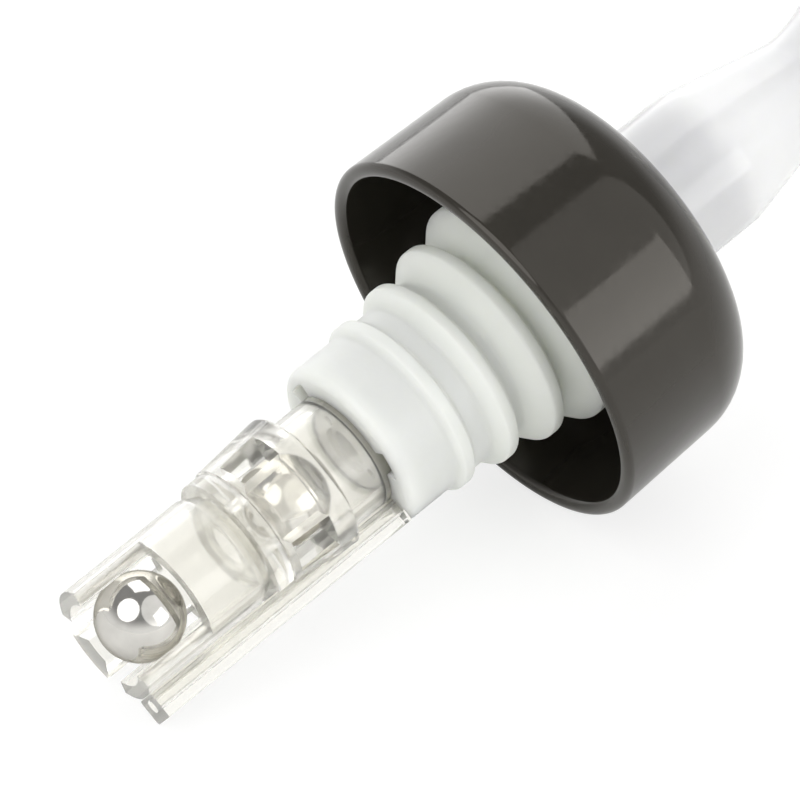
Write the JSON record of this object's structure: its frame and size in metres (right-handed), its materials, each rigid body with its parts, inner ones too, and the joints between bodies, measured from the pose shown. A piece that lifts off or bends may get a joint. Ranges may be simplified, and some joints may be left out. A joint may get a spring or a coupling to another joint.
{
  "type": "measured pourer",
  "caption": "Bottle pourer that meters one measure: milky leaning spout, dark cup-shaped collar, finned milky stopper, clear cages with steel check balls and a breather bar along the side.",
  "frame": {"origin": "on the pourer's axis, in the plane of the stopper's flange that rests on the bottle's lip", "axes": "+Z along the axis towards the spout, +Y the side that the nozzle leans to, -Y the side of the breather bar, -X the open side of the lower cage"},
  "size_m": [0.0376, 0.0376, 0.105],
  "materials": {
    "clear_plastic": "clear, glossy",
    "spout_plastic": "milky, translucent, glossy",
    "seat_plastic": "milky, satin",
    "collar_plastic": "glossy brown-black",
    "cork_plastic": "milky, translucent, smooth",
    "ball_steel": "polished"
  },
  "bodies": {
    "housing": {"spout": "spout_plastic", "outlet_seat": "seat_plastic", "timing_tube": "clear_plastic", "metering_plug": "seat_plastic", "collar": "collar_plastic", "cork": "cork_plastic", "upper_cage": "clear_plastic", "lower_seat": "clear_plastic", "lower_cage": "clear_plastic", "breather_bar": "clear_plastic"},
    "timing_ball": {"timing_ball": "ball_steel"},
    "upper_check_ball": {"upper_check_ball": "ball_steel"},
    "lower_check_ball": {"lower_check_ball": "ball_steel"}
  },
  "joints": [
    {"name": "timing_slide", "type": "slide", "parent": "housing", "child": "timing_ball", "axis": [0, 0, 1], "range_m": [0, 0.03136]},
    {"name": "upper_check_slide", "type": "slide", "parent": "housing", "child": "upper_check_ball", "axis": [0, 0, 1], "range_m": [0, 0.0038]},
    {"name": "lower_check_slide", "type": "slide", "parent": "housing", "child": "lower_check_ball", "axis": [0, 0, 1], "range_m": [0, 0.00614]}
  ]
}
